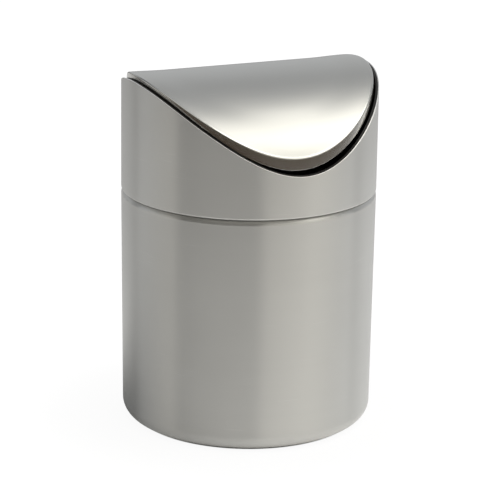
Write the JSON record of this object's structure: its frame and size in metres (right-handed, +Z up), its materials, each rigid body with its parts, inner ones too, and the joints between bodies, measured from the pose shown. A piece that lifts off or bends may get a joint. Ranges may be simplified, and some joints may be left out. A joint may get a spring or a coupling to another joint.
{
  "type": "countertop bin",
  "caption": "Small round countertop waste bin in brushed steel: tapered can, lift-off saddle-cut head with a black liner, and a curved lid that swings both ways on hidden pivots.",
  "frame": {"origin": "on the bin's axis, on the surface that it stands on", "axes": "+Z up; the lid's pivot axis runs along X; the head's low sides, where the lid is pushed, face -Y and +Y"},
  "size_m": [0.12, 0.12, 0.17],
  "materials": {
    "can_steel": "brushed stainless, hairlines run round the can",
    "collar_steel": "brushed stainless, hairlines run round the collar, polished cut edge",
    "lid_steel": "satin stainless, softer and brighter than the can",
    "pivot_steel": "plain mill finish",
    "black_plastic": "moulded, fine satin",
    "white_nylon": "natural nylon"
  },
  "bodies": {
    "can": {"body_shell": "can_steel", "foot_ring": "black_plastic"},
    "head": {"collar_shell": "collar_steel", "collar_liner": "black_plastic", "pivot_pin_left": "pivot_steel", "pivot_pin_right": "pivot_steel"},
    "lid": {"lid_shell": "lid_steel", "hinge_bracket_left": "pivot_steel", "hinge_bracket_right": "pivot_steel", "pivot_bush_left": "white_nylon", "pivot_bush_right": "white_nylon"}
  },
  "joints": [
    {"name": "head_lift", "type": "slide", "parent": "can", "child": "head", "axis": [0, 0, 1], "range_m": [0, 0.06]},
    {"name": "lid_swing", "type": "hinge", "parent": "head", "child": "lid", "pos_m": [0, 0, 0.1625], "axis": [1, 0, 0], "range_deg": [-82, 82]}
  ]
}
